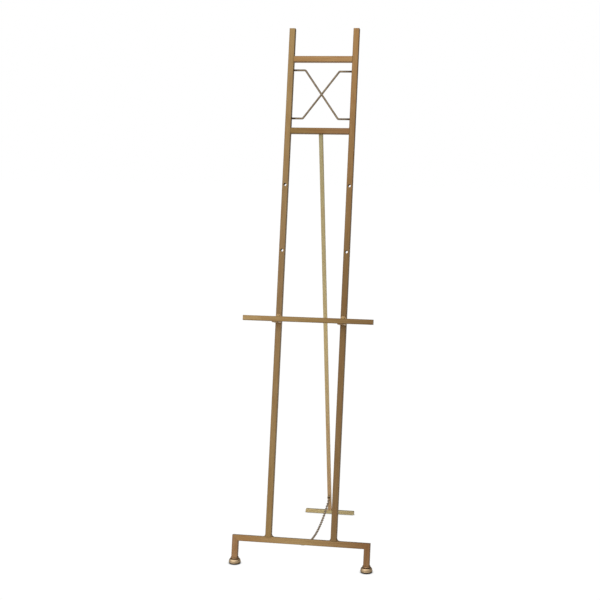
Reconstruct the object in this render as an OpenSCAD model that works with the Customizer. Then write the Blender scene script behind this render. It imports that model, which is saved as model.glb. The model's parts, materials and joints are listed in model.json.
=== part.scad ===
// Folding display easel of square steel tube: a leaning ladder frame on two bun feet,
// a hinged rear leg held by a chain, and a bolt-on shelf that fits any of three pairs of holes.
// Origin: middle of the floor area that the easel covers. +Z is up, the front faces -Y.
// Lengths "along the frame" are measured up the leaning frame from where its legs' axes meet the floor.

/* [Frame] */
// Outer side of the square frame tube
tube = 19.05; // [16:0.05:25.4]
// Wall of every square tube
wall = 1.2; // [0.9:0.1:2]
// Lean of the frame from vertical, degrees
lean = 14.1; // [10:0.1:18]
// Distance between the uprights' centre lines
upright_spacing = 211; // [180:1:280]
// Height of the uprights' capped tops, along the frame
upright_top = 1738; // [1700:1:1800]
// Height of the lower crossbar's axis, along the frame
lower_crossbar_at = 1401.5; // [1380:0.5:1420]
// Height of the upper crossbar's axis, along the frame
upper_crossbar_at = 1637; // [1610:1:1650]

/* [Base] */
// Overall width of the base
base_w = 445; // [400:1:520]
// Height of the base bar's axis, along the frame
base_bar_at = 83; // [78:1:95]
// Height of a bun foot with its pad and collar
foot_h = 22; // [21:0.5:24]
// Widest radius of a bun foot
foot_r = 19.5; // [18:0.5:22]

/* [Cross rods] */
// Diameter of the two bent rods that make the X
rod_d = 6.35; // [4:0.05:7]
// Distance of each bend from the centre line
rod_bend_x = 57; // [50:1:65]
// Height of the upper bends, along the frame
rod_high_at = 1600; // [1590:1:1605]
// Height of the lower bends, along the frame
rod_low_at = 1441; // [1435:1:1450]

/* [Shelf] */
// Diameter of the shelf holes in the uprights
hole_d = 9.5; // [9:0.1:10.5]
// Height of the top pair of shelf holes, along the frame
hole_top_at = 1224; // [1200:1:1250]
// Distance from one pair of shelf holes to the next
hole_pitch = 213.5; // [190:0.5:220]
// Overall length of the shelf bar
shelf_l = 419; // [380:1:460]
// Outer side of the square shelf bar
shelf_tube = 16; // [14:0.5:19]
// Reach of the shelf bar's front face from the uprights' front faces
shelf_reach = 60; // [45:1:70]
// Thickness of the strap brackets
strap_t = 3; // [2:0.5:4]

/* [Rear leg] */
// Outer side of the rear leg's square tube
leg_tube = 12.7; // [10:0.1:14]
// Distance of the rear foot bar behind the bun feet's axes
rear_reach = 548; // [500:1:580]
// Overall length of the rear foot bar
rear_bar_l = 173; // [140:1:220]
// Distance of the hinge axis behind the frame's middle plane
hinge_back = 16.5; // [16.5:0.1:18]

/* [Chain] */
// Wire diameter of a chain link
link_wire = 2.2; // [1.8:0.1:2.3]
// Inside length of a chain link
link_inner_l = 8.2; // [8.2:0.1:8.4]
// Inside width of a chain link
link_inner_w = 4.6; // [4:0.1:4.8]
// Height of the chain's lowest point, on its centre line
chain_low = 17; // [14:1:25]

/* [Hidden] */

half = tube / 2;
tube_corner = 1.8;
corner_steps = 6;
leg_half = leg_tube / 2;
short_leg_x = (base_w - tube) / 2;
upright_x = upright_spacing / 2;
upright_from = base_bar_at + half;
crossbar_l = upright_spacing - tube;
cap_t = 1.5;
cap_plug = 8;
fit_gap = 0.1;
long = 4000;

knuckle_extra = 0.2;
front_rod_off = [0.4, -0.2];
back_rod_off = [2.5, 2];

foot_y = foot_h * tan(lean);
foot_pad_t = 2.2;
foot_collar_from = 17;
foot_stud_r = 4;
foot_stud_from = 8;
foot_stud_to = 34;
foot_plug_top = 42;

rear_foot_y = foot_y + rear_reach;
pivot_y = hinge_back * cos(lean) + lower_crossbar_at * sin(lean);
pivot_z = lower_crossbar_at * cos(lean) - hinge_back * sin(lean);
leg_drop = pivot_z - leg_half;
leg_angle = atan2(rear_foot_y - pivot_y, leg_drop);
leg_l = norm([rear_foot_y - pivot_y, leg_drop]);
leg_head_l = 12;
leg_tongue_l = 30;
ear_t = 3;
ear_r = 6.9;
ear_gap = 14.6;
bolt_r = 3;
running_gap = 0.05;
overcut = 1;
bush_r = 4;
bush_l = 14.3;
hinge_washer_t = 1;
rear_cap_l = 4;

shelf_hole_at = hole_top_at - 2 * hole_pitch;
shelf_bar_drop = 3.5;
shelf_bar_top = shelf_hole_at - shelf_bar_drop;
shelf_bar_bottom = shelf_bar_top - shelf_tube;
shelf_front = half + shelf_reach;
bracket_top = shelf_hole_at + 7;
peg_r = 4.5;
peg_head_r = 5.25;
peg_head_t = 2.5;
peg_tail_r = 3;
peg_tail_end = 23;
nut_r = 8;
nut_t = 7;
nut_washer_t = 1.2;
nut_clear = 0.2;
nut_from = half + nut_washer_t + nut_clear;

screw_r = 1.75;
screw_head_r = 3;
screw_head_t = 2;
screw_inside = 7;
ring_r = 5.6;
wire_r = link_wire / 2;
ring_gap = 0.15;
ring_hang = ring_r - wire_r - screw_r - ring_gap;
ring_out = 4.1;
head_clear = 0.5;
screw_stand = ring_out + wire_r + head_clear;
base_screw_at = 82.8;
leg_screw_z = 67;
link_count = 65;

// Everything is drawn with the bun feet's leg axes at y = 0 and then centred front to back.
y_mid = (foot_y - foot_r + rear_foot_y + leg_half) / 2;

base_ring = frame_point(half + ring_out, base_screw_at - ring_hang - ring_r);
leg_screw_along = (pivot_z - leg_screw_z) / cos(leg_angle);
leg_ring = leg_point(leg_half + ring_out, leg_screw_along + ring_hang + ring_r);
sag_ratio = sqrt((base_ring[1] - chain_low) / (leg_ring[1] - chain_low));
chain_low_y = (base_ring[0] + sag_ratio * leg_ring[0]) / (1 + sag_ratio);
chain_curve = (leg_ring[1] - chain_low) / pow(leg_ring[0] - chain_low_y, 2);
ring_to_link = link_inner_l / 2 - wire_r - fit_gap;
chain_from = curve_length(base_ring[0] - chain_low_y) + ring_to_link;
chain_to = curve_length(leg_ring[0] - chain_low_y) - ring_to_link;
link_pitch = (chain_to - chain_from) / (link_count - 1);

// World [y, z] of a point on the leaning frame: back is behind its middle plane, up is along it.
function frame_point(back, up) = [
    back * cos(lean) + up * sin(lean),
    up * cos(lean) - back * sin(lean)
];

// World [y, z] of a point on the rear leg: front is ahead of its axis, down is from the hinge axis.
function leg_point(front, down) = [
    pivot_y + down * sin(leg_angle) - front * cos(leg_angle),
    pivot_z - down * cos(leg_angle) - front * sin(leg_angle)
];

// The chain hangs in a parabola. Length along it from its lowest point to a point u away.
function slope(u) = 2 * chain_curve * u;
function curve_length(u) =
    u / 2 * sqrt(1 + pow(slope(u), 2))
    + ln(slope(u) + sqrt(1 + pow(slope(u), 2))) / (4 * chain_curve);

// The place u on the parabola at a length s along it, by Newton's method.
function place_at(s, u, steps = 5) = steps == 0 ? u : place_at(
    s, u - (curve_length(u) - s) / sqrt(1 + pow(slope(u), 2)), steps - 1);

// Outline of a square tube's outside or inside, with rounded corners.
function rounded_square(side, r) = [
    for (corner = [0:3], step = [0:corner_steps])
        let (a = 90 * corner + 90 * step / corner_steps,
             c = (side / 2 - r) * sqrt(2))
        [c * cos(90 * corner + 45) + r * cos(a), c * sin(90 * corner + 45) + r * sin(a)]
];

module centred() translate([0, -y_mid, 0]) children();

module on_frame() centred() rotate([-lean, 0, 0]) children();

module on_leg() centred() translate([0, pivot_y, pivot_z]) rotate([leg_angle, 0, 0]) children();

module square_bar(side, length, r = tube_corner) {
    linear_extrude(length) polygon(rounded_square(side, r));
}

module square_tube(side, length, r = tube_corner) {
    difference() {
        square_bar(side, length, r);
        translate([0, 0, -overcut])
            square_bar(side - 2 * wall, length + 2 * overcut, r - wall / 2);
    }
}

// Runs children, drawn up +Z from the origin, along +X and centred on it.
module along_x(length) translate([-length / 2, 0, 0]) rotate([0, 90, 0]) children();

// Runs children, drawn up +Z, backwards along +Y.
module backwards() rotate([-90, 0, 0]) children();

module end_cap(side) {
    inner = side - 2 * wall - 2 * fit_gap;
    square_bar(side, cap_t);
    translate([0, 0, -cap_plug]) square_bar(inner, cap_plug, tube_corner / 2);
}

module upright(side) {
    color("#9c7c4c") on_frame() difference() {
        translate([side * upright_x, 0, upright_from])
            square_tube(tube, upright_top - cap_t - upright_from);
        for (i = [0:2])
            translate([side * upright_x, -tube, hole_top_at - i * hole_pitch])
                backwards() cylinder(d = hole_d, h = 2 * tube, $fn = 48);
    }
}

module left_upright() upright(-1);

module right_upright() upright(1);

module top_cap(side) {
    color("#a88a58") on_frame()
        translate([side * upright_x, 0, upright_top - cap_t]) end_cap(tube);
}

module left_top_cap() top_cap(-1);

module right_top_cap() top_cap(1);

// Half space beyond the 45 degree mitre between the base bar and a short leg.
module beyond_mitre(side) {
    translate([side * short_leg_x, 0, base_bar_at]) rotate([0, side * 45, 0])
        translate([side * long / 2, 0, 0]) cube(long, center = true);
}

module base_bar() {
    color("#9c7c4c") on_frame() difference() {
        translate([0, 0, base_bar_at]) along_x(base_w) square_tube(tube, base_w);
        beyond_mitre(-1);
        beyond_mitre(1);
        translate([0, 0, base_screw_at]) backwards()
            cylinder(r = screw_r + running_gap, h = tube, $fn = 32);
    }
}

module short_leg(side) {
    color("#9c7c4c") difference() {
        on_frame() intersection() {
            translate([side * short_leg_x, 0, 0]) square_tube(tube, base_bar_at + half);
            beyond_mitre(side);
        }
        translate([0, 0, foot_h - long / 2]) cube(long, center = true);
    }
}

module left_short_leg() short_leg(-1);

module right_short_leg() short_leg(1);

module crossbar(at) {
    color("#a07a48") on_frame() translate([0, 0, at]) along_x(crossbar_l)
        square_tube(tube, crossbar_l);
}

module lower_crossbar() crossbar(lower_crossbar_at);

module upper_crossbar() crossbar(upper_crossbar_at);

module rod_between(from, to) {
    run = to - from;
    translate([from[0], 0, from[1]]) rotate([0, atan2(run[0], run[1]), 0])
        cylinder(d = rod_d, h = norm(run), $fn = 32);
}

// A rod from one upright to the other: level, down the diagonal, and level again. Each bend has a
// knuckle a little thicker than the rod. The rods are bent by hand, so their bends sit off_x to one
// side and off_z nearer each other.
module cross_rod(back, off_x, off_z) {
    knuckle_d = rod_d + knuckle_extra;
    high = rod_high_at - off_z;
    low = rod_low_at + off_z;
    bends = [[off_x - rod_bend_x, high], [off_x + rod_bend_x, low]];
    end_x = crossbar_l / 2;
    color("#80705a") on_frame() translate([0, back, 0]) {
        rod_between([-end_x, high], bends[0]);
        rod_between(bends[0], bends[1]);
        rod_between(bends[1], [end_x, low]);
        for (bend = bends) translate([bend[0], 0, bend[1]]) sphere(d = knuckle_d, $fn = 32);
    }
}

module front_cross_rod() cross_rod(-rod_d / 2, front_rod_off[0], front_rod_off[1]);

module back_cross_rod()
    mirror([1, 0, 0]) cross_rod(rod_d / 2, back_rod_off[0], back_rod_off[1]);

module at_foot(side) centred() translate([side * short_leg_x, foot_y, 0]) children();

// Threaded block inside the lower end of a short leg, cut level like the leg.
module foot_plug(side) {
    color("#6e6e6a") difference() {
        on_frame() translate([side * short_leg_x, 0, 0])
            square_bar(tube - 2 * wall - 2 * fit_gap, foot_plug_top, tube_corner / 2);
        translate([0, 0, foot_h - long / 2]) cube(long, center = true);
        at_foot(side) cylinder(r = foot_stud_r + running_gap, h = long, $fn = 48);
    }
}

module left_foot_plug() foot_plug(-1);

module right_foot_plug() foot_plug(1);

module foot_stud(side) {
    color("#8a8a86") at_foot(side) translate([0, 0, foot_stud_from])
        cylinder(r = foot_stud_r, h = foot_stud_to - foot_stud_from, $fn = 48);
}

module left_foot_stud() foot_stud(-1);

module right_foot_stud() foot_stud(1);

// Turned ring between the bun foot and the leg: a round bead on a short neck.
module foot_collar(side) {
    bore = foot_stud_r + running_gap;
    neck_r = 12;
    bead_r = 13;
    bead_at = (foot_collar_from + foot_h) / 2;
    neck_h = 0.8;
    bead_h = foot_h - foot_collar_from - 2 * neck_h;
    arc = 8;
    color("#b89a6a") at_foot(side) rotate_extrude($fn = 64) polygon(concat(
        [[bore, foot_collar_from], [neck_r, foot_collar_from]],
        [for (i = [0:arc]) let (a = -90 + 180 * i / arc)
            [neck_r + (bead_r - neck_r) * cos(a), bead_at + bead_h / 2 * sin(a)]],
        [[neck_r - 1, foot_h], [bore, foot_h]]
    ));
}

module left_foot_collar() foot_collar(-1);

module right_foot_collar() foot_collar(1);

// Turned bun: a dome that swells from the neck to a rim, with a fine step above the rim.
module bun_foot(side) {
    bore = foot_stud_r + running_gap;
    neck_r = 12.9;
    dome_r = foot_r - 0.7;
    dome_from = 7.4;
    rim_mid = 5.2;
    rim_half = 2;
    base_in = 1.2;
    stud_clear = 0.2;
    socket_end = foot_stud_from - stud_clear;
    arc = 8;
    color("#d8c08c") at_foot(side) rotate_extrude($fn = 64) polygon(concat(
        [[0, foot_pad_t], [foot_r - base_in, foot_pad_t]],
        [for (i = [0:arc]) let (a = -60 + 120 * i / arc)
            [foot_r - rim_half + rim_half * cos(a), rim_mid + rim_half * sin(a)]],
        [for (i = [0:arc]) let (a = 90 * i / arc)
            [neck_r + (dome_r - neck_r) * cos(a),
             dome_from + (foot_collar_from - dome_from) * sin(a)]],
        [[bore, foot_collar_from], [bore, socket_end], [0, socket_end]]
    ));
}

module left_bun_foot() bun_foot(-1);

module right_bun_foot() bun_foot(1);

module foot_pad(side) {
    pad_in = 1.4;
    color("#3c342c") at_foot(side) cylinder(r = foot_r - pad_in, h = foot_pad_t, $fn = 64);
}

module left_foot_pad() foot_pad(-1);

module right_foot_pad() foot_pad(1);

module at_hinge() on_frame() translate([0, hinge_back, lower_crossbar_at]) children();

// Two plates welded to the back of the lower crossbar.
module hinge_ears() {
    to_bar = hinge_back - half;
    color("#8a6c44") at_hinge() for (side = [-1, 1])
        translate([side * (ear_gap + ear_t) / 2, 0, 0]) along_x(ear_t) difference() {
            union() {
                cylinder(r = ear_r, h = ear_t, $fn = 48);
                translate([-ear_r, -to_bar, 0]) cube([2 * ear_r, to_bar, ear_t]);
            }
            translate([0, 0, -overcut])
                cylinder(r = bolt_r + running_gap, h = ear_t + 2 * overcut, $fn = 48);
        }
}

module hinge_bolt() {
    grip = ear_gap + 2 * (ear_t + hinge_washer_t);
    tail = 6.5;
    head_r = 5.2;
    head_t = 4;
    color("#9a8a68") at_hinge() translate([-grip / 2, 0, 0]) rotate([0, 90, 0]) {
        cylinder(r = bolt_r, h = grip + tail, $fn = 48);
        translate([0, 0, -head_t]) cylinder(r = head_r, h = head_t, $fn = 6);
    }
}

module hinge_washers() {
    washer_r = 6;
    color("#a09070") at_hinge() for (side = [-1, 1])
        translate([side * (ear_gap / 2 + ear_t + hinge_washer_t / 2), 0, 0])
            along_x(hinge_washer_t) difference() {
                cylinder(r = washer_r, h = hinge_washer_t, $fn = 48);
                translate([0, 0, -overcut])
                    cylinder(r = bolt_r + running_gap, h = hinge_washer_t + 2 * overcut, $fn = 48);
            }
}

module hinge_nut() {
    nut_from_x = ear_gap / 2 + ear_t + hinge_washer_t;
    hinge_nut_t = 5;
    hex_r = 5.6;
    color("#9a8a68") at_hinge() translate([nut_from_x, 0, 0]) rotate([0, 90, 0]) difference() {
        cylinder(r = hex_r, h = hinge_nut_t, $fn = 6);
        translate([0, 0, -overcut])
            cylinder(r = bolt_r + running_gap, h = hinge_nut_t + 2 * overcut, $fn = 48);
    }
}

// Solid round-ended block with a tongue down inside the leg tube.
module leg_head() {
    tongue = leg_tube - 2 * wall - 2 * fit_gap;
    color("#8a6c44") on_leg() difference() {
        union() {
            along_x(leg_tube) cylinder(r = leg_half, h = leg_tube, $fn = 48);
            translate([-leg_half, -leg_half, -leg_head_l]) cube([leg_tube, leg_tube, leg_head_l]);
            translate([0, 0, -leg_tongue_l])
                square_bar(tongue, leg_tongue_l - leg_head_l + overcut, tube_corner / 2);
        }
        along_x(2 * leg_tube) cylinder(r = bush_r + running_gap, h = 2 * leg_tube, $fn = 48);
    }
}

module hinge_bush() {
    color("#b0a080") on_leg() along_x(bush_l) difference() {
        cylinder(r = bush_r, h = bush_l, $fn = 48);
        translate([0, 0, -overcut])
            cylinder(r = bolt_r + running_gap, h = bush_l + 2 * overcut, $fn = 48);
    }
}

// The leg tube ends on the level top of the rear foot bar.
module rear_leg() {
    color("#a8905c") difference() {
        on_leg() difference() {
            translate([0, 0, -leg_l - leg_tube]) square_tube(leg_tube, leg_l + leg_tube - leg_head_l);
            translate([0, -leg_tube, -leg_screw_along]) backwards()
                cylinder(r = screw_r + running_gap, h = leg_tube, $fn = 32);
        }
        translate([0, 0, leg_tube - long / 2]) cube(long, center = true);
    }
}

module at_rear_foot() centred() translate([0, rear_foot_y, leg_half]) children();

module rear_foot_bar() {
    length = rear_bar_l - 2 * rear_cap_l;
    color("#b89c6c") at_rear_foot() along_x(length) square_tube(leg_tube, length);
}

// Rounded plugs that close the rear foot bar.
module rear_foot_caps() {
    plug = leg_tube - 2 * wall - 2 * fit_gap;
    round_r = rear_cap_l;
    color("#c0a070") at_rear_foot() for (side = [-1, 1]) mirror([side < 0 ? 1 : 0, 0, 0])
        translate([rear_bar_l / 2 - rear_cap_l, 0, 0]) {
            for (end = [-1, 1])
                translate([0, leg_half, end * (leg_half - round_r)]) rotate([90, 0, 0])
                    intersection() {
                        cylinder(r = round_r, h = leg_tube, $fn = 48);
                        translate([0, -round_r, 0]) cube([round_r, 2 * round_r, leg_tube]);
                    }
            translate([0, -leg_half, round_r - leg_half])
                cube([round_r, leg_tube, leg_tube - 2 * round_r]);
            translate([-cap_plug, 0, 0]) rotate([0, 90, 0])
                square_bar(plug, cap_plug, tube_corner / 2);
        }
}

// Round-head screw whose shank stands off the tube, so that a ring can hang on it.
module chain_screw() {
    translate([0, 0, -screw_inside])
        cylinder(r = screw_r, h = screw_inside + screw_stand, $fn = 32);
    translate([0, 0, screw_stand]) cylinder(r = screw_head_r, h = screw_head_t, $fn = 48);
}

module base_chain_screw() {
    color("#b8a478") on_frame() translate([0, half, base_screw_at]) rotate([-90, 0, 0])
        chain_screw();
}

module leg_chain_screw() {
    color("#b8a478") on_leg() translate([0, -leg_half, -leg_screw_along]) rotate([90, 0, 0])
        chain_screw();
}

module ring() {
    rotate_extrude($fn = 48) translate([ring_r, 0]) circle(r = wire_r, $fn = 24);
}

module chain_end_rings() {
    color("#8c8478") {
        on_frame() translate([0, half + ring_out, base_screw_at - ring_hang])
            rotate([90, 0, 0]) ring();
        on_leg() translate([0, -leg_half - ring_out, -leg_screw_along - ring_hang])
            rotate([90, 0, 0]) ring();
    }
}

// One oval link along X, lying flat.
module chain_link() {
    bend_r = link_inner_w / 2 + wire_r;
    straight = link_inner_l - link_inner_w;
    for (end = [0, 180]) rotate([0, 0, end]) {
        translate([straight / 2, 0, 0]) rotate([0, 0, -90])
            rotate_extrude(angle = 180, $fn = 32) translate([bend_r, 0])
                circle(r = wire_r, $fn = 24);
        translate([-straight / 2, bend_r, 0]) rotate([0, 90, 0])
            cylinder(r = wire_r, h = straight, $fn = 24);
    }
}

// Links at an even pitch along the hanging curve, every other one turned on edge.
module chain_links() {
    color("#8c8478") centred() for (i = [0:link_count - 1]) {
        s = chain_from + i * link_pitch;
        u = place_at(s, s);
        translate([0, chain_low_y + u, chain_low + chain_curve * u * u])
            rotate([atan(slope(u)), 0, 0]) rotate([0, i % 2 == 0 ? 90 : 0, 0])
                rotate([0, 0, 90]) chain_link();
    }
}

module shelf_bar() {
    length = shelf_l - 2 * cap_t;
    color("#a08050") on_frame()
        translate([0, shelf_tube / 2 - shelf_front, shelf_bar_bottom + shelf_tube / 2])
            along_x(length) square_tube(shelf_tube, length);
}

module shelf_end_caps() {
    color("#a08050") on_frame()
        translate([0, shelf_tube / 2 - shelf_front, shelf_bar_bottom + shelf_tube / 2])
            for (side = [-1, 1]) mirror([side < 0 ? 1 : 0, 0, 0])
                translate([shelf_l / 2 - cap_t, 0, 0]) rotate([0, 90, 0]) end_cap(shelf_tube);
}

// Steel strap: a level run under the shelf bar, turned up against the upright.
module shelf_bracket(side) {
    run = shelf_reach - 2;
    rise = bracket_top - half - shelf_bar_bottom;
    face = half + fit_gap;
    color("#b49868") on_frame() translate([side * upright_x, -face, shelf_bar_bottom]) {
        translate([-half, -run, -strap_t]) cube([tube, run, strap_t]);
        difference() {
            union() {
                translate([-half, -strap_t, 0]) cube([tube, strap_t, rise]);
                translate([0, -strap_t, rise]) backwards() intersection() {
                    cylinder(r = half, h = strap_t, $fn = 64);
                    translate([-half, -half, 0]) cube([tube, half, strap_t]);
                }
            }
            translate([0, -2 * strap_t, shelf_hole_at - shelf_bar_bottom]) backwards()
                cylinder(r = peg_r + fit_gap / 2, h = 4 * strap_t, $fn = 48);
        }
    }
}

module left_shelf_bracket() shelf_bracket(-1);

module right_shelf_bracket() shelf_bracket(1);

// Turned peg: a low domed head, a shoulder that fills the upright's holes and a threaded tail.
module shelf_peg(side) {
    front = half + fit_gap + strap_t;
    rim_t = 0.5;
    arc = 6;
    color("#c8b488") on_frame() translate([side * upright_x, -front, shelf_hole_at]) backwards() {
        translate([0, 0, -rim_t]) rotate_extrude($fn = 48) polygon(concat(
            [for (i = [0:arc]) let (a = 90 * i / arc)
                [peg_head_r * sin(a), -(peg_head_t - rim_t) * cos(a)]],
            [[peg_head_r, rim_t], [0, rim_t]]
        ));
        cylinder(r = peg_r, h = front + half - fit_gap, $fn = 48);
        cylinder(r = peg_tail_r, h = front + peg_tail_end, $fn = 48);
    }
}

module left_shelf_peg() shelf_peg(-1);

module right_shelf_peg() shelf_peg(1);

module shelf_washers() {
    color("#b8a880") on_frame() for (side = [-1, 1])
        translate([side * upright_x, half, shelf_hole_at]) backwards() difference() {
            cylinder(r = nut_r, h = nut_washer_t, $fn = 48);
            translate([0, 0, -overcut])
                cylinder(r = peg_tail_r + 2 * fit_gap, h = nut_washer_t + 2 * overcut, $fn = 48);
        }
}

// Fluted round nut turned by finger and thumb.
module thumb_nut(side) {
    flutes = 16;
    flute_r = 0.8;
    color("#c8b078") on_frame() translate([side * upright_x, nut_from, shelf_hole_at])
        backwards() difference() {
            cylinder(r = nut_r, h = nut_t, $fn = 64);
            translate([0, 0, -overcut])
                cylinder(r = peg_tail_r + running_gap, h = nut_t + 2 * overcut, $fn = 48);
            for (i = [0:flutes - 1]) rotate([0, 0, 360 * i / flutes])
                translate([nut_r + flute_r / 3, 0, -overcut])
                    cylinder(r = flute_r, h = nut_t + 2 * overcut, $fn = 16);
        }
}

module left_thumb_nut() thumb_nut(-1);

module right_thumb_nut() thumb_nut(1);

left_upright();
right_upright();
left_top_cap();
right_top_cap();
base_bar();
left_short_leg();
right_short_leg();
lower_crossbar();
upper_crossbar();
front_cross_rod();
back_cross_rod();
left_foot_plug();
right_foot_plug();
left_foot_stud();
right_foot_stud();
left_foot_collar();
right_foot_collar();
left_bun_foot();
right_bun_foot();
left_foot_pad();
right_foot_pad();
hinge_ears();
hinge_bolt();
hinge_washers();
hinge_nut();
leg_head();
hinge_bush();
rear_leg();
rear_foot_bar();
rear_foot_caps();
leg_chain_screw();
base_chain_screw();
chain_end_rings();
chain_links();
shelf_bar();
shelf_end_caps();
left_shelf_bracket();
right_shelf_bracket();
left_shelf_peg();
right_shelf_peg();
shelf_washers();
left_thumb_nut();
right_thumb_nut();
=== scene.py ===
import json
import math

import bmesh
import bpy
from mathutils import Matrix, Vector


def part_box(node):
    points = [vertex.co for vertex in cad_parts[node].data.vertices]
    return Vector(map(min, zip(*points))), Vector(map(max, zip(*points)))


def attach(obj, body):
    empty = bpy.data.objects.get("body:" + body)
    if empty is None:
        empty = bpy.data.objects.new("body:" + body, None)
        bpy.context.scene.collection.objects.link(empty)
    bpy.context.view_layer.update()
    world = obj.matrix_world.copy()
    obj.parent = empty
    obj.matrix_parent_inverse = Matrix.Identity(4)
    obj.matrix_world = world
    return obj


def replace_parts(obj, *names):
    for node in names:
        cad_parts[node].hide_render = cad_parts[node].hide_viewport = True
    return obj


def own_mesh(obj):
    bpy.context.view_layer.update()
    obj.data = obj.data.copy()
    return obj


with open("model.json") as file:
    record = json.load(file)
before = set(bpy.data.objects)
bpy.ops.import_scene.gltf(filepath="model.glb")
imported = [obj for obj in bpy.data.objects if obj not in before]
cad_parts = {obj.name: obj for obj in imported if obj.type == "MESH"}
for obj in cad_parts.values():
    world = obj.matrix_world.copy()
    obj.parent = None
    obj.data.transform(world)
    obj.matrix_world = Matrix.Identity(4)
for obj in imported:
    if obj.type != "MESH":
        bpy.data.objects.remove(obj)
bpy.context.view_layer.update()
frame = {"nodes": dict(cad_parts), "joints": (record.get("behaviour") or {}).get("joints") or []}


# ---- Room: floor, dome light and camera ----
# A white studio: a plain pale floor, a wide soft light high on the left in front, and unlit space
# behind, which puts the thin dark edges on the tubes. The camera stands at head height.

def linear(hex_colour):
    """The linear colour of an sRGB hex value."""
    channels = [int(hex_colour[i:i + 2], 16) / 255 for i in (1, 3, 5)]
    return [c / 12.92 if c <= 0.04045 else ((c + 0.055) / 1.055) ** 2.4 for c in channels] + [1.0]


def add_node(tree, kind, inputs=None, **settings):
    """Adds a node with its settings; an input is a value, or an output that is linked to it."""
    node = tree.nodes.new(kind)
    for name, value in settings.items():
        setattr(node, name, value)
    for socket, value in (inputs or {}).items():
        if isinstance(value, bpy.types.NodeSocket):
            tree.links.new(value, node.inputs[socket])
        else:
            node.inputs[socket].default_value = value
    return node


def new_material(name):
    """An empty node material and its tree."""
    material = bpy.data.materials.new(name)
    material.use_nodes = True
    material.node_tree.nodes.clear()
    return material, material.node_tree


def new_piece(name, mesh, material, smooth=True):
    """Links a finished bmesh as an object at the origin, and frees the bmesh."""
    bmesh.ops.recalc_face_normals(mesh, faces=mesh.faces)
    data = bpy.data.meshes.new(name)
    mesh.to_mesh(data)
    mesh.free()
    data.materials.append(material)
    data.shade_smooth() if smooth else data.shade_flat()
    piece = bpy.data.objects.new(name, data)
    bpy.context.collection.objects.link(piece)
    return piece


# Matt white paper with a faint tooth. Seen straight it is lit to plain white but for a soft
# contact shadow; in reflections it is the dimmer floor of the studio.
paper, tree = new_material("white_paper_floor")
tooth = add_node(tree, "ShaderNodeTexNoise", {
    "Vector": add_node(tree, "ShaderNodeTexCoord").outputs["Object"], "Scale": 400.0,
})
matt = add_node(tree, "ShaderNodeBsdfPrincipled", {
    "Base Color": linear("#e6e4e0"), "Roughness": 0.9, "Specular IOR Level": 0.1,
    "Normal": add_node(tree, "ShaderNodeBump", {
        "Height": tooth.outputs["Fac"], "Strength": 0.1, "Distance": 0.0001}).outputs["Normal"],
})
contact = add_node(tree, "ShaderNodeAmbientOcclusion", {"Distance": 0.016}, samples=8)
lit = add_node(tree, "ShaderNodeEmission", {
    "Color": linear("#ffffff"),
    "Strength": add_node(tree, "ShaderNodeMapRange", {
        "Value": contact.outputs["AO"], "From Min": 0.35, "From Max": 0.8,
        "To Min": 0.12, "To Max": 1.02}).outputs["Result"],
})
both = add_node(tree, "ShaderNodeMixShader", {
    0: add_node(tree, "ShaderNodeLightPath").outputs["Is Camera Ray"],
    1: matt.outputs["BSDF"], 2: lit.outputs["Emission"],
})
add_node(tree, "ShaderNodeOutputMaterial", {"Surface": both.outputs["Shader"]})
floor_mesh = bmesh.new()
bmesh.ops.create_grid(floor_mesh, x_segments=1, y_segments=1, size=12)
new_piece("floor", floor_mesh, paper)

# Light from behind is dim; in front it grows with height and towards the left.
world = bpy.data.worlds.new("studio")
bpy.context.scene.world = world
world.use_nodes = True
tree = world.node_tree
tree.nodes.clear()
direction = add_node(tree, "ShaderNodeTexCoord").outputs["Generated"]


def brightness(facing, low, high, dark, bright):
    """Dome brightness that rises from dark to bright as a direction turns to face this way."""
    turned = add_node(tree, "ShaderNodeVectorMath", {
        0: direction, 1: Vector(facing).normalized()}, operation="DOT_PRODUCT")
    return add_node(tree, "ShaderNodeMapRange", {
        "Value": turned.outputs["Value"], "From Min": low, "From Max": high,
        "To Min": dark, "To Max": bright}, interpolation_type="SMOOTHSTEP").outputs["Result"]


front = brightness((0, -1, 0.1), -0.35, 0.45, 0.30, 1.0)
key = brightness((-0.55, -0.55, 0.63), 0.1, 0.95, 0.78, 1.55)
dome = add_node(tree, "ShaderNodeBackground", {
    "Color": linear("#fffcf7"),
    "Strength": add_node(tree, "ShaderNodeMath", {0: front, 1: key},
                         operation="MULTIPLY").outputs["Value"],
})
backdrop = add_node(tree, "ShaderNodeBackground", {"Color": linear("#ffffff"), "Strength": 1.0})
either = add_node(tree, "ShaderNodeMixShader", {
    0: add_node(tree, "ShaderNodeLightPath").outputs["Is Camera Ray"],
    1: dome.outputs[0], 2: backdrop.outputs[0],
})
add_node(tree, "ShaderNodeOutputWorld", {"Surface": either.outputs[0]})
bpy.context.scene.view_settings.view_transform = "Standard"

camera = bpy.data.objects.new("camera", bpy.data.cameras.new("camera"))
bpy.context.collection.objects.link(camera)
camera.data.sensor_width = 36
camera.data.lens = 86.3
camera.data.clip_end = 60
camera.location = (0.8407, -4.5354, 1.6332)
camera.rotation_euler = (math.radians(79.955), 0, math.radians(11.143))
bpy.context.scene.camera = camera


# ---- Main frame tubes ----
# Two uprights, two crossbars, a base bar and two short legs of 19 mm square steel tube, welded and
# ground, then rubbed with a brass lacquer. Its tones differ from tube to tube and along each tube,
# with painted light and shade in them: the left-hand pieces are lighter than the right-hand ones,
# the uprights lighter towards their tops, the upper crossbar lighter than the lower. The whole
# frame leans back.

def middle(node):
    """The middle of a CAD node's box."""
    low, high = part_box(node)
    return (low + high) / 2


draw = next(joint for joint in frame["joints"] if joint["name"] == "shelf_draw")
frame_back = -Vector(draw["axis"])
frame_up = Vector((0, -frame_back.z, frame_back.y))
lean = math.atan2(frame_up.y, frame_up.z)


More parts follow.
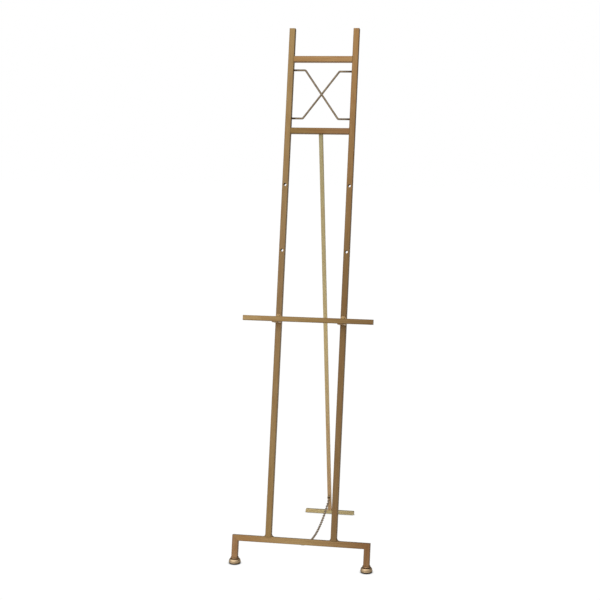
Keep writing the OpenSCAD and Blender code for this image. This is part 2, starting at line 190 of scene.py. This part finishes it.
def lacquer_with_painted_light(name, node, tilt, along, tones, roughness=0.40, metallic=0.85):
    """Steel rubbed with tinted brass lacquer: end-to-end tones with painted light and shade, clouds,
    streaks and specks.

    tilt turns the pattern about X to lie with the tube, and along is then the tube's axis. The
    tones are evenly spaced from its low end to its high end.
    """
    material, tree = new_material(name)
    turn = Matrix.Rotation(tilt, 3, "X")
    reach = [(turn @ vertex.co)[along] for vertex in frame["nodes"][node].data.vertices]
    place = add_node(tree, "ShaderNodeMapping", {
        "Vector": add_node(tree, "ShaderNodeTexCoord").outputs["Object"],
        "Rotation": (tilt, 0, 0),
    }).outputs["Vector"]

    def noise(pitch, run, detail=2.0, distortion=0.0):
        """Noise that repeats about every pitch metres across the tube and run metres along it."""
        scale = [1 / pitch] * 3
        scale[along] = 1 / run
        stretched = add_node(tree, "ShaderNodeMapping", {"Vector": place, "Scale": scale})
        return add_node(tree, "ShaderNodeTexNoise", {
            "Vector": stretched.outputs["Vector"], "Scale": 1.0, "Detail": detail,
            "Roughness": 0.55, "Distortion": distortion}).outputs["Fac"]

    def ranged(value, low, high, to_low, to_high):
        return add_node(tree, "ShaderNodeMapRange", {
            "Value": value, "From Min": low, "From Max": high,
            "To Min": to_low, "To Max": to_high}).outputs["Result"]

    def tinted(colour, factor, tint, blend="MIX"):
        return add_node(tree, "ShaderNodeMix", {
            "Factor": factor, "A": colour, "B": linear(tint)},
            data_type="RGBA", blend_type=blend).outputs["Result"]

    distance = add_node(tree, "ShaderNodeSeparateXYZ", {"Vector": place}).outputs[along]
    wander = ranged(noise(0.05, 0.09), 0.3, 0.7, -0.04, 0.04)
    fraction = add_node(tree, "ShaderNodeMath", {
        0: ranged(distance, min(reach), max(reach), 0, 1), 1: wander}, operation="ADD")
    # The end-to-end tones: the lacquer's colour with light and shade painted in.
    ramp = add_node(tree, "ShaderNodeValToRGB", {"Fac": fraction.outputs["Value"]})
    stops = ramp.color_ramp.elements
    for i, tone in enumerate(tones):
        stop = stops[i] if i < 2 else stops.new(1.0)
        stop.position = i / (len(tones) - 1)
        stop.color = linear(tone)
    clouds = noise(0.03, 0.085, 4.0, 0.4)
    streaks = noise(0.0012, 0.06)
    specks = noise(0.002, 0.002, 3.0)
    colour = tinted(ramp.outputs["Color"], ranged(clouds, 0.52, 0.75, 0, 0.40), "#e0c79a", "MULTIPLY")
    colour = tinted(colour, ranged(clouds, 0.48, 0.28, 0, 0.35), "#ecc8b0", "MULTIPLY")
    colour = tinted(colour, ranged(streaks, 0.35, 0.7, 0, 0.35), "#c9ad86", "MULTIPLY")
    colour = tinted(colour, ranged(specks, 0.60, 0.78, 0, 0.30), "#4a3a28")
    lacquer = add_node(tree, "ShaderNodeBsdfPrincipled", {
        "Base Color": colour, "Metallic": metallic,
        "Roughness": ranged(streaks, 0.3, 0.7, roughness - 0.05, roughness + 0.07),
        "Normal": add_node(tree, "ShaderNodeBump", {
            "Height": streaks, "Strength": 0.2, "Distance": 0.0002}).outputs["Normal"],
    })
    add_node(tree, "ShaderNodeOutputMaterial", {"Surface": lacquer.outputs["BSDF"]})
    return material


def finish_cad(material, *nodes):
    """Gives CAD nodes one material."""
    for node in nodes:
        frame["nodes"][node].data.materials.clear()
        frame["nodes"][node].data.materials.append(material)


# Each tube's tones from its low or left end to its high or right end, painted light and shade
# included.
left_lacquer = lacquer_with_painted_light(
    "antique_brass_left_upright", "left_upright", lean, 2, ("#907850", "#887050", "#988058"))
right_lacquer = lacquer_with_painted_light(
    "antique_brass_right_upright", "right_upright", lean, 2, ("#806848", "#786040", "#987850"))
base_lacquer = lacquer_with_painted_light(
    "antique_brass_base_bar", "base_bar", lean, 0, ("#987850", "#a08860", "#806040"))
low_bar_lacquer = lacquer_with_painted_light(
    "antique_brass_lower_crossbar", "lower_crossbar", lean, 0, ("#806840", "#886848"))
high_bar_lacquer = lacquer_with_painted_light(
    "antique_brass_upper_crossbar", "upper_crossbar", lean, 0, ("#987850", "#a08058"))
left_leg_lacquer = lacquer_with_painted_light(
    "antique_brass_left_leg", "left_short_leg", lean, 2, ("#987858", "#907050"))
right_leg_lacquer = lacquer_with_painted_light(
    "antique_brass_right_leg", "right_short_leg", lean, 2, ("#886848", "#806040"))
finish_cad(left_lacquer, "left_upright", "left_top_cap")
finish_cad(right_lacquer, "right_upright", "right_top_cap")
finish_cad(base_lacquer, "base_bar")
finish_cad(low_bar_lacquer, "lower_crossbar")
finish_cad(high_bar_lacquer, "upper_crossbar")
finish_cad(left_leg_lacquer, "left_short_leg")
finish_cad(right_leg_lacquer, "right_short_leg")


# ---- Welds of the frame ----
# Beads run with the torch where the tubes meet and ground by hand. They are widest at the foot of
# each upright, where the frame is loaded most; on the front they are ground flush.

tube_half = (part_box("left_upright")[1].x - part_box("left_upright")[0].x) / 2
upright_x = middle("right_upright").x
edge_r = 0.0018
flare_r = 0.009
bar_bead_r = 0.0022
across = Vector((1, 0, 0))


def add_bead(mesh, start, end, a, b, radius, ripple=0.0):
    """Adds a concave bead in the corner between faces that run along a and b, from start to end."""
    stations, arc = 12, 6
    rings = []
    for i in range(stations + 1):
        corner = start.lerp(end, i / stations)
        r = radius * (1 + ripple * math.sin(2.1 * i) * math.sin(math.pi * i / stations))
        ring = [mesh.verts.new(corner)]
        for j in range(arc + 1):
            turn = math.pi / 2 * j / arc
            ring.append(mesh.verts.new(
                corner + a * r * (1 - math.sin(turn)) + b * r * (1 - math.cos(turn))))
        rings.append(ring)
    for one, two in zip(rings, rings[1:]):
        for j in range(len(one)):
            k = (j + 1) % len(one)
            mesh.faces.new((one[j], one[k], two[k], two[j]))
    mesh.faces.new(rings[0])
    mesh.faces.new(rings[-1][::-1])


for side, lacquer in ((-1, left_lacquer), (1, right_lacquer)):
    welds = bmesh.new()
    foot = middle("base_bar") + across * side * upright_x + frame_up * tube_half
    flat = tube_half - edge_r
    for out in (-1, 1):
        corner = foot + across * out * tube_half
        add_bead(welds, corner - frame_back * flat, corner + frame_back * flat,
                 across * out, frame_up, flare_r, 0.08)
        # The rounded front and back edges of the base bar, filled and ground flush.
        corner = foot + frame_back * out * tube_half
        add_bead(welds, corner - across * flat, corner + across * flat,
                 -frame_back * out, -frame_up, edge_r)
    for bar in ("lower_crossbar", "upper_crossbar"):
        joint = middle(bar) + across * side * (upright_x - tube_half)
        for out in (-1, 1):
            corner = joint + frame_up * out * tube_half
            add_bead(welds, corner - frame_back * flat, corner + frame_back * flat,
                     -across * side, frame_up * out, bar_bead_r, 0.12)
            corner = joint + frame_back * out * tube_half
            add_bead(welds, corner - frame_up * flat, corner + frame_up * flat,
                     across * side, -frame_back * out, edge_r)
    name = "left" if side < 0 else "right"
    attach(new_piece(f"{name}_weld_beads", welds, lacquer), "frame")


# ---- Cross rods ----
# Two 6 mm steel rods, each bent twice by hand on a jig, crossing in an X with one in front of the
# other. Their ends are tacked to the uprights. The lacquer on them is browner and thinner.

def add_sweep(mesh, path, radius, closed=False, sides=16):
    """Sweeps a round section along the points of a path that lies in one plane."""
    turns = [path[i + 1] - path[i] for i in range(len(path) - 1)]
    normal = next((turns[0].cross(t).normalized() for t in turns
                   if turns[0].cross(t).length > 1e-12), None)
    rings = []
    for i, point in enumerate(path):
        before = path[i - 1] if i or closed else point
        after = path[(i + 1) % len(path)] if i + 1 < len(path) or closed else point
        heading = (after - before).normalized()
        side = normal.cross(heading)
        rings.append([mesh.verts.new(point + radius * (
            normal * math.cos(2 * math.pi * j / sides) + side * math.sin(2 * math.pi * j / sides)))
            for j in range(sides)])
    pairs = list(zip(rings, rings[1:])) + ([(rings[-1], rings[0])] if closed else [])
    for one, two in pairs:
        for j in range(sides):
            k = (j + 1) % sides
            mesh.faces.new((one[j], one[k], two[k], two[j]))
    if not closed:
        mesh.faces.new(rings[0])
        mesh.faces.new(rings[-1][::-1])


def rounded_path(corners, radius, steps=8):
    """The path through corners, each inner one rounded to the radius."""
    path = [corners[0]]
    for before, corner, after in zip(corners, corners[1:], corners[2:]):
        one, two = (before - corner).normalized(), (after - corner).normalized()
        half_angle = one.angle(two) / 2
        centre = corner + (one + two).normalized() * radius / math.sin(half_angle)
        first = corner + one * radius / math.tan(half_angle) - centre
        last = corner + two * radius / math.tan(half_angle) - centre
        path += [centre + first.slerp(last, i / steps).normalized() * radius
                 for i in range(steps + 1)]
    return path + [corners[-1]]


def worn_metal(name, tones, scale, roughness, metallic=0.9, bump=0.15):
    """Plain worn metal: two tones in blotches, fine scuffs in the gloss, and a slight waviness."""
    material, tree = new_material(name)
    place = add_node(tree, "ShaderNodeTexCoord").outputs["Object"]
    blotches = add_node(tree, "ShaderNodeTexNoise", {
        "Vector": place, "Scale": scale, "Detail": 3.0, "Roughness": 0.6}).outputs["Fac"]
    scuffs = add_node(tree, "ShaderNodeTexNoise", {
        "Vector": place, "Scale": scale * 9, "Detail": 2.0}).outputs["Fac"]
    ramp = add_node(tree, "ShaderNodeValToRGB", {"Fac": blotches})
    ramp.color_ramp.elements[0].position = 0.38
    ramp.color_ramp.elements[0].color = linear(tones[0])
    ramp.color_ramp.elements[1].position = 0.64
    ramp.color_ramp.elements[1].color = linear(tones[1])
    metal = add_node(tree, "ShaderNodeBsdfPrincipled", {
        "Base Color": ramp.outputs["Color"], "Metallic": metallic,
        "Roughness": add_node(tree, "ShaderNodeMapRange", {
            "Value": scuffs, "From Min": 0.3, "From Max": 0.7,
            "To Min": roughness - 0.06, "To Max": roughness + 0.08}).outputs["Result"],
        "Normal": add_node(tree, "ShaderNodeBump", {
            "Height": scuffs, "Strength": bump, "Distance": 0.0002}).outputs["Normal"],
    })
    add_node(tree, "ShaderNodeOutputMaterial", {"Surface": metal.outputs["BSDF"]})
    return material


rod_bend_r = 0.005
rod_lacquer = worn_metal("thin_brown_lacquer", ("#7d6f5e", "#95866f"), 70.0, 0.42)
for node in ("front_cross_rod", "back_cross_rod"):
    points = [vertex.co for vertex in frame["nodes"][node].data.vertices]
    heights = [frame_up.dot(point) for point in points]
    ends = sorted((point for point in points if abs(point.x) > upright_x - tube_half - 1e-5),
                  key=lambda point: point.x)
    starts = [point for point in ends if point.x < 0]
    finishes = [point for point in ends if point.x > 0]
    first = sum(starts, Vector()) / len(starts)
    last = sum(finishes, Vector()) / len(finishes)
    rod_r = max((point - first).length for point in starts)
    # Each bend's knuckle is the highest or the lowest point of the rod.
    bends = []
    for end, other in ((first, last), (last, first)):
        tip = max(heights) if frame_up.dot(end) > frame_up.dot(other) else min(heights)
        knuckle = [p.x for p, height in zip(points, heights) if abs(height - tip) < 3e-5]
        bends.append(Vector((sum(knuckle) / len(knuckle), end.y, end.z)))
    rod = bmesh.new()
    add_sweep(rod, rounded_path([first, bends[0], bends[1], last], rod_bend_r), rod_r)
    rod = new_piece(f"{node}_bent", rod, rod_lacquer)
    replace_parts(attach(rod, "frame"), node)


# ---- Bun feet ----
# Turned brass feet on studs under the short legs: a bead, a tight neck, a dome that swells to a
# rim, and a dark pad under it. Their tones by height paint a highlight on the dome and shade in
# the neck and under the rim.

def add_turned(mesh, profile, base, axis, steps=48):
    """Spins a profile of (radius, height) pairs about the axis through base."""
    side = axis.orthogonal().normalized()
    ring = [mesh.verts.new(base + side * r + axis * h) for r, h in profile]
    edges = [mesh.edges.new(pair) for pair in zip(ring, ring[1:])]
    bmesh.ops.spin(mesh, geom=ring + edges, cent=base, axis=axis, angle=2 * math.pi,
                   steps=steps, use_merge=True)
    bmesh.ops.remove_doubles(mesh, verts=mesh.verts, dist=1e-6)


def turned_brass(name, highlight_and_shade_stops):
    """Polished turned brass with lathe marks, whose tone changes with height above the floor to paint
    in highlight and shade.
    """
    material, tree = new_material(name)
    place = add_node(tree, "ShaderNodeTexCoord").outputs["Object"]
    height = add_node(tree, "ShaderNodeSeparateXYZ", {"Vector": place}).outputs["Z"]
    top = highlight_and_shade_stops[-1][0]
    ramp = add_node(tree, "ShaderNodeValToRGB", {
        "Fac": add_node(tree, "ShaderNodeMath", {0: height, 1: top}, operation="DIVIDE")
        .outputs["Value"]})
    for i, (at, tone) in enumerate(highlight_and_shade_stops):
        stop = ramp.color_ramp.elements[i] if i < 2 else ramp.color_ramp.elements.new(1.0)
        stop.position = at / top
        stop.color = linear(tone)
    lathe = add_node(tree, "ShaderNodeTexNoise", {
        "Vector": add_node(tree, "ShaderNodeMapping", {
            "Vector": place, "Scale": (60, 60, 2500)}).outputs["Vector"],
        "Scale": 1.0, "Detail": 2.0}).outputs["Fac"]
    tarnish = add_node(tree, "ShaderNodeTexNoise", {
        "Vector": place, "Scale": 130.0, "Detail": 4.0}).outputs["Fac"]
    worn = add_node(tree, "ShaderNodeMix", {
        "Factor": add_node(tree, "ShaderNodeMapRange", {
            "Value": tarnish, "From Min": 0.5, "From Max": 0.75,
            "To Min": 0.0, "To Max": 0.45}).outputs["Result"],
        "A": ramp.outputs["Color"], "B": linear("#7d6440"),
    }, data_type="RGBA")
    brass = add_node(tree, "ShaderNodeBsdfPrincipled", {
        "Base Color": worn.outputs["Result"], "Metallic": 0.95,
        "Roughness": add_node(tree, "ShaderNodeMapRange", {
            "Value": tarnish, "From Min": 0.4, "From Max": 0.7,
            "To Min": 0.2, "To Max": 0.34}).outputs["Result"],
        "Normal": add_node(tree, "ShaderNodeBump", {
            "Height": lathe, "Strength": 0.12, "Distance": 0.0002}).outputs["Normal"],
    })
    add_node(tree, "ShaderNodeOutputMaterial", {"Surface": brass.outputs["BSDF"]})
    return material


pad_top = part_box("left_foot_pad")[1].z
foot_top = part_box("left_bun_foot")[1].z
collar_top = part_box("left_foot_collar")[1].z
foot_r = (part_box("left_bun_foot")[1].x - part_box("left_bun_foot")[0].x) / 2
collar_r = (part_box("left_foot_collar")[1].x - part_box("left_foot_collar")[0].x) / 2
# Painted shade at the bottom and in the neck, a painted highlight on the dome.
foot_brass = turned_brass("turned_foot_brass", (
    (0.0, "#403020"), (0.004, "#504030"), (0.006, "#b8a080"), (0.0145, "#c8b090"),
    (0.0172, "#886848"), (0.0195, "#b09070"), (0.022, "#907050")))
pad_felt = worn_metal("dark_foot_pad", ("#2b251e", "#3a332a"), 600.0, 0.9, 0.0, 0.6)
for side in ("left", "right"):
    base = Vector((middle(f"{side}_bun_foot").x, middle(f"{side}_bun_foot").y, 0))
    up = Vector((0, 0, 1))
    rim_mid, rim_r = 0.0052, 0.0019
    dome_r, dome_low, neck_r = foot_r - 0.0008, 0.0076, 0.0112
    profile = [(0, pad_top), (foot_r - 0.0012, pad_top)]
    profile += [(foot_r - rim_r + rim_r * math.cos(a), rim_mid + rim_r * math.sin(a))
                for a in (math.radians(d) for d in range(-65, 66, 13))]
    profile += [(neck_r + (dome_r - neck_r) * math.cos(a) ** 0.8,
                 dome_low + (foot_top - 0.0006 - dome_low) * math.sin(a))
                for a in (math.radians(d) for d in range(0, 91, 6))]
    profile += [(neck_r - 0.0004, foot_top), (0, foot_top)]
    bun = bmesh.new()
    add_turned(bun, profile, base, up)
    bun = new_piece(f"{side}_turned_bun", bun, foot_brass)
    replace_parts(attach(bun, "frame"), f"{side}_bun_foot")

    bead_low = foot_top + 0.0002
    bead_h = (collar_top - 0.0004 - bead_low) / 2
    profile = [(0, bead_low - 0.0001), (neck_r, bead_low)]
    profile += [(neck_r + (collar_r - neck_r) * math.cos(a), bead_low + bead_h * (1 + math.sin(a)))
                for a in (math.radians(d) for d in range(-90, 91, 12))]
    profile += [(0, collar_top)]
    collar = bmesh.new()
    add_turned(collar, profile, base, up)
    collar = new_piece(f"{side}_turned_collar", collar, foot_brass)
    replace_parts(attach(collar, "frame"), f"{side}_foot_collar")

    pad_r = (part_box(f"{side}_foot_pad")[1].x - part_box(f"{side}_foot_pad")[0].x) / 2
    pad = bmesh.new()
    add_turned(pad, [(0, 0), (pad_r - 0.0006, 0), (pad_r, 0.0006), (pad_r, pad_top),
                     (0, pad_top)], base, up)
    pad = new_piece(f"{side}_felt_pad", pad, pad_felt)
    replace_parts(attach(pad, "frame"), f"{side}_foot_pad")
zinc = worn_metal("zinc_plate", ("#8d8f8c", "#a9aaa6"), 300.0, 0.4)
finish_cad(zinc, "left_foot_plug", "right_foot_plug", "left_foot_stud", "right_foot_stud")


# ---- Hinge and rear leg ----
# A 13 mm square tube leg swings on a bolt between two ears behind the lower crossbar. It stands on
# a cross bar of the same tube with rounded plugs. The weld beads at its foot are pinkish.

fold = next(joint for joint in frame["joints"] if joint["name"] == "leg_fold")
pivot = Vector(fold["pos_m"])
rear_foot = middle("rear_foot_bar")
leg_tilt = math.atan2(rear_foot.y - pivot.y, pivot.z - rear_foot.z)
# Pale tones, partly painted light: they make up for the dim floor that the leg and foot bar reflect.
leg_lacquer = lacquer_with_painted_light(
    "antique_brass_rear_leg", "rear_leg", -leg_tilt, 2, ("#c8a880", "#d8c898", "#c0b890"),
    metallic=0.6)
foot_bar_lacquer = lacquer_with_painted_light(
    "antique_brass_rear_foot", "rear_foot_bar", 0, 0, ("#d0c090", "#c0b890"), metallic=0.6)
finish_cad(leg_lacquer, "rear_leg", "leg_head")
finish_cad(foot_bar_lacquer, "rear_foot_bar", "rear_foot_caps")
leg_half = rear_foot.z
heel_bead_r = 0.003
heel = bmesh.new()
for out in (-1, 1):
    corner = rear_foot + Vector((out * leg_half, 0, leg_half))
    ahead = Vector((0, leg_half - edge_r, 0))
    add_bead(heel, corner - ahead, corner + ahead, across * out, Vector((0, 0, 1)),
             heel_bead_r, 0.15)
pinkish_bead_finish = worn_metal("pinkish_weld_bead", ("#a47c62", "#b88d6e"), 200.0, 0.42)
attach(new_piece("rear_foot_weld_beads", heel, pinkish_bead_finish), "leg")
finish_cad(low_bar_lacquer, "hinge_ears")
plated = worn_metal("plated_fastener", ("#8d7450", "#b89c6c"), 260.0, 0.33)
finish_cad(plated, "hinge_bolt", "hinge_washers", "hinge_nut")
finish_cad(worn_metal("machined_bush", ("#b0904f", "#c6a866"), 260.0, 0.3), "hinge_bush")


# ---- Chain ----
# A slack chain of oval links keeps the leg from sliding back. Each end hangs in a ring on a round-
# head screw. It is antique plated wire in dark and light blotches, made light against the shade
# among the links: partly painted light.

def islands(node):
    """The separate solids of a CAD node, each as a list of points, from front to back."""
    mesh = bmesh.new()
    mesh.from_mesh(frame["nodes"][node].data)
    bmesh.ops.remove_doubles(mesh, verts=mesh.verts, dist=1e-6)
    left = set(mesh.verts)
    found = []
    while left:
        edge = [left.pop()]
        solid = list(edge)
        while edge:
            for link in edge.pop().link_edges:
                for vertex in link.verts:
                    if vertex in left:
                        left.remove(vertex)
                        edge.append(vertex)
                        solid.append(vertex)
        found.append([vertex.co.copy() for vertex in solid])
    mesh.free()
    return sorted(found, key=lambda solid: min(point.y for point in solid))


def spread(points, axis):
    """How far points reach along an axis."""
    reach = [point.dot(axis) for point in points]
    return max(reach) - min(reach)


def centre_of(points):
    """The middle of a symmetrical solid."""
    return sum(points, Vector()) / len(points)


# Tones lightened against the shade among the links: partly painted light.
chain_wire = worn_metal("antique_plated_wire", ("#8f8174", "#d2c4b2"), 420.0, 0.32, 0.92)
# The end rings are paler than the chain.
ring_wire = worn_metal("pale_ring_wire", ("#a89478", "#d8c6a2"), 420.0, 0.3, 0.92)
# The round heads are dark all over: painted shade standing in for the recess in each head.
screw_finish = worn_metal("dark_screw_head", ("#3a3126", "#5c4c3a"), 300.0, 0.42)
links = islands("chain_links")
centres = [centre_of(points) for points in links]
wire_r = spread(links[0], across) / 2
link_w = spread(links[1], across)
chain = bmesh.new()
for i, centre in enumerate(centres):
    heading = (centres[min(i + 1, len(centres) - 1)] - centres[max(i - 1, 0)]).normalized()
    wide = across if i % 2 else across.cross(heading)
    link_l = spread(links[i], heading)
    bend_r = link_w / 2 - wire_r
    straight = link_l / 2 - wire_r - bend_r
    oval = []
    for end in (1, -1):
        for step in range(9):
            turn = math.pi * (step / 8 - 0.5)
            oval.append(centre + heading * end * (straight + bend_r * math.cos(turn))
                        + wide * end * bend_r * math.sin(turn))
    add_sweep(chain, oval, wire_r, closed=True, sides=12)
chain = new_piece("hanging_chain", chain, chain_wire)
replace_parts(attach(chain, "frame"), "chain_links")

rings = islands("chain_end_rings")
leg_back = Vector((0, math.cos(leg_tilt), math.sin(leg_tilt)))
leg_down = Vector((0, math.sin(leg_tilt), -math.cos(leg_tilt)))
for points, body, out, down in ((rings[0], "frame", frame_back, -frame_up),
                                (rings[1], "leg", leg_back, leg_down)):
    centre = centre_of(points)
    ring_r = spread(points, across) / 2 - wire_r
    loop = bmesh.new()
    add_sweep(loop, [centre + ring_r * (across * math.cos(math.radians(a))
                     + down * math.sin(math.radians(a))) for a in range(0, 360, 10)],
              wire_r, closed=True, sides=12)
    loop = new_piece(f"{body}_end_ring", loop, ring_wire)
    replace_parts(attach(loop, body), "chain_end_rings")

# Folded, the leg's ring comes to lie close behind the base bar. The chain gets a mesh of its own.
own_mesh(chain)

head_t = 0.002
for node, body, out in (("base_chain_screw", "frame", frame_back),
                        ("leg_chain_screw", "leg", -leg_back)):
    points = [vertex.co.copy() for vertex in frame["nodes"][node].data.vertices]
    tip = max(point.dot(out) for point in points)
    low = min(point.dot(out) for point in points)
    head_r = spread(points, across) / 2
    shank = [point for point in points if point.dot(out) < low + 1e-5]
    shank_r = spread(shank, across) / 2
    base = centre_of(shank)
    length = tip - low
    screw = bmesh.new()
    add_turned(screw, [(0, 0), (shank_r, 0), (shank_r, length - head_t), (head_r, length - head_t),
                       (head_r, length - 0.0016), (head_r * 0.93, length - 0.0009),
                       (head_r * 0.72, length - 0.0003), (head_r * 0.4, length - 0.00005),
                       (0, length)], base, out, 32)
    screw = new_piece(f"{body}_round_head_screw", screw, screw_finish)
    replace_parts(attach(screw, body), node)


# ---- Shelf ----
# A 16 mm square bar rests on two steel straps, bent up at the uprights and held by pegs through
# the shelf holes, with washers and fluted thumb nuts behind. The bar's tones darken to the right:
# painted shade.

# Light at the left end, dark at the right: painted light and shade.
shelf_lacquer = lacquer_with_painted_light(
    "antique_brass_shelf_bar", "shelf_bar", lean, 0, ("#a08860", "#907850", "#786040"))
finish_cad(shelf_lacquer, "shelf_bar", "shelf_end_caps")
# The straps' tones run front to back: dark at the front for painted shade, light in the middle for a
# painted highlight.
strap_shade_and_highlight = lacquer_with_painted_light(
    "strap_painted_shade_and_highlight", "left_shelf_bracket", lean, 1, ("#887050", "#d8c0a0", "#a88c68"), 0.34)
thick = 0.003
turn_r = 0.0045
inner_r = turn_r - thick


def strap_point(x, n, v):
    """The point at x across, n behind and v up the leaning frame."""
    return across * x + frame_back * n + frame_up * v


for side in ("left", "right"):
    node = f"{side}_shelf_bracket"
    points = [vertex.co.copy() for vertex in frame["nodes"][node].data.vertices]
    x = middle(node).x
    half_w = (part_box(node)[1].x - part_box(node)[0].x) / 2
    backs = [point.dot(frame_back) for point in points]
    ups = [point.dot(frame_up) for point in points]
    back, front, low, high = max(backs), min(backs), min(ups), max(ups)
    section = [(front, low), (front, low + thick), (back - turn_r, low + thick)]
    section += [(back - turn_r + inner_r * math.sin(a), low + turn_r - inner_r * math.cos(a))
                for a in (math.radians(d) for d in (30, 60, 90))]
    section += [(back - thick, high), (back, high)]
    section += [(back - turn_r + turn_r * math.sin(a), low + turn_r - turn_r * math.cos(a))
                for a in (math.radians(d) for d in (90, 72, 54, 36, 18, 0))]
    strap = bmesh.new()
    outline = [strap.verts.new(strap_point(x - half_w, n, v)) for n, v in section]
    face = strap.faces.new(outline)
    grown = bmesh.ops.extrude_face_region(strap, geom=[face])
    moved = [item for item in grown["geom"] if isinstance(item, bmesh.types.BMVert)]
    bmesh.ops.translate(strap, verts=moved, vec=across * 2 * half_w)
    # The top of the upturned end is cut round, and all the edges are eased.
    corners = [edge for edge in strap.edges
               if all(vertex.co.dot(frame_up) > high - 1e-6 for vertex in edge.verts)
               and abs(edge.verts[0].co.x - edge.verts[1].co.x) < 1e-6]
    bmesh.ops.bevel(strap, geom=corners, offset=half_w * 0.96, segments=10, profile=0.5,
                    affect="EDGES", material=-1)
    sharp = [edge for edge in strap.edges if len(edge.link_faces) == 2
             and edge.calc_face_angle(0) > math.radians(50)]
    bmesh.ops.bevel(strap, geom=sharp, offset=0.0004, segments=2, profile=0.5,
                    affect="EDGES", material=-1)
    strap = new_piece(f"{side}_bent_strap", strap, strap_shade_and_highlight, smooth=False)
    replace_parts(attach(strap, "shelf"), node)
finish_cad(plated, "left_shelf_peg", "right_shelf_peg", "shelf_washers",
           "left_thumb_nut", "right_thumb_nut")
